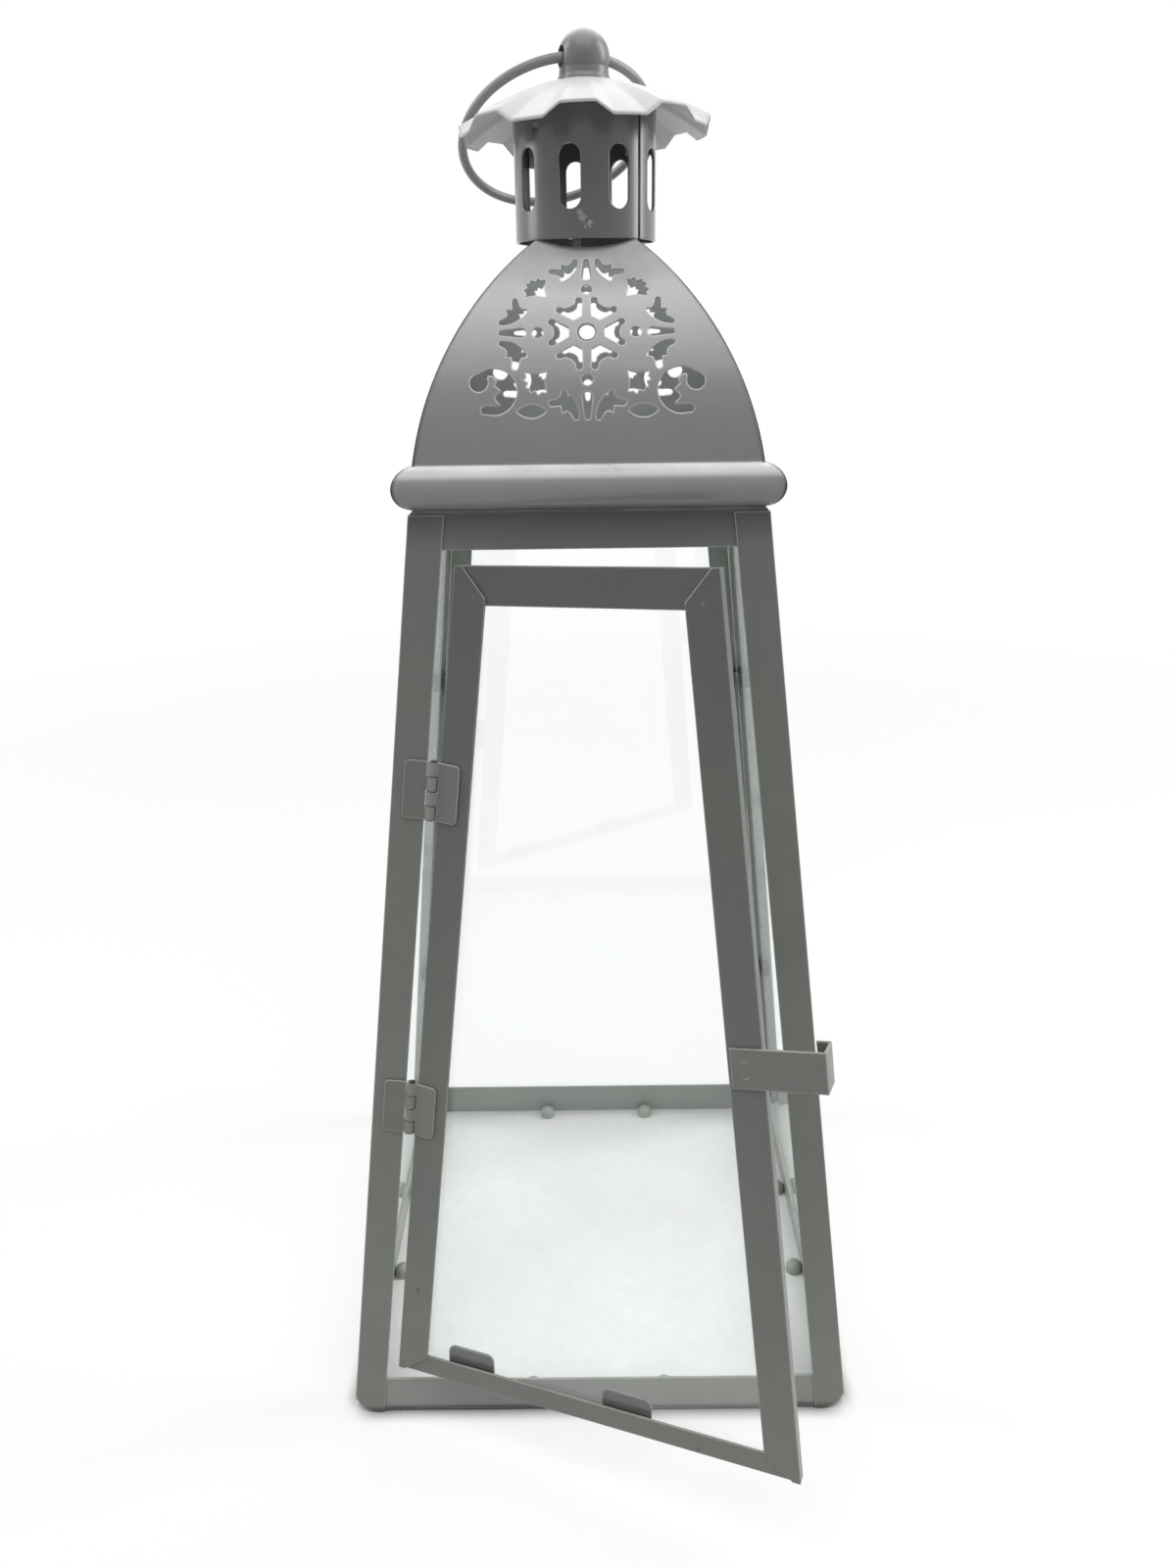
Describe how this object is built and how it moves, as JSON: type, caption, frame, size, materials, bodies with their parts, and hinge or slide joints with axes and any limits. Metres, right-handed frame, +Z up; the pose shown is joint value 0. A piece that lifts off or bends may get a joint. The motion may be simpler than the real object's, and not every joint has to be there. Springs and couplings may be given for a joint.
{
  "type": "candle lantern",
  "caption": "Tapered square sheet-metal candle lantern with glass walls, a hinged glazed door, a pierced dome roof, a slotted chimney, a fluted canopy and a ring handle.",
  "frame": {"origin": "centre of the square base, on the surface the lantern stands on; the candle seat is 1.5 mm above it", "axes": "+Z up, -Y towards the front where the door is, +X to the right as seen from the front"},
  "size_m": [0.174, 0.2247, 0.4385],
  "materials": {
    "frame_paint": "satin warm grey paint, lightly worn",
    "door_paint": "satin warm grey paint, lightly worn",
    "roof_paint": "satin warm grey paint",
    "chimney_paint": "satin warm grey paint, a few small chips",
    "canopy_paint": "satin pale grey paint",
    "floor_paint": "satin pale grey paint",
    "hinge_paint": "satin warm grey paint",
    "handle_paint": "satin warm grey paint",
    "clip_steel": "satin grey paint",
    "plain_steel": "dull zinc-plated steel",
    "pane_glass": "clear float glass with a faint green tint"
  },
  "bodies": {
    "housing": {"post_front_left": "frame_paint", "post_front_right": "frame_paint", "post_back_right": "frame_paint", "post_back_left": "frame_paint", "base_rail_front": "frame_paint", "base_rail_right": "frame_paint", "base_rail_back": "frame_paint", "base_rail_left": "frame_paint", "top_rail_front": "frame_paint", "top_rail_right": "frame_paint", "top_rail_back": "frame_paint", "top_rail_left": "frame_paint", "glass_strip_right": "frame_paint", "glass_strip_back": "frame_paint", "glass_strip_left": "frame_paint", "roof_panel_front": "roof_paint", "roof_panel_right": "roof_paint", "roof_panel_back": "roof_paint", "roof_panel_left": "roof_paint", "glass_right": "pane_glass", "glass_back": "pane_glass", "glass_left": "pane_glass", "floor_plate": "floor_paint", "floor_rivets": "floor_paint", "chimney": "chimney_paint", "canopy": "canopy_paint", "finial": "handle_paint", "glass_clips": "clip_steel", "canopy_bracket": "plain_steel", "finial_washer": "plain_steel", "finial_nut": "plain_steel", "hinge_pin_upper": "plain_steel", "hinge_pin_lower": "plain_steel", "hinge_leaf_post_upper": "hinge_paint", "hinge_leaf_post_lower": "hinge_paint"},
    "door": {"door_stile_hinge": "door_paint", "door_stile_latch": "door_paint", "door_rail_top": "door_paint", "door_rail_bottom": "door_paint", "door_glass": "pane_glass", "door_clips": "clip_steel", "hinge_leaf_door_upper": "hinge_paint", "hinge_leaf_door_lower": "hinge_paint", "latch_strap": "hinge_paint"},
    "handle": {"handle_ring": "handle_paint"}
  },
  "joints": [
    {"name": "door_swing", "type": "hinge", "parent": "housing", "child": "door", "pos_m": [-0.07445, -0.0876, 0.00007], "axis": [-0.1114, -0.1114, -0.9875], "range_deg": [-21.8, 128.2]},
    {"name": "handle_swing", "type": "hinge", "parent": "housing", "child": "handle", "pos_m": [0, 0, 0.43114], "axis": [0.9278, 0.373, 0], "range_deg": [0, 247]}
  ]
}
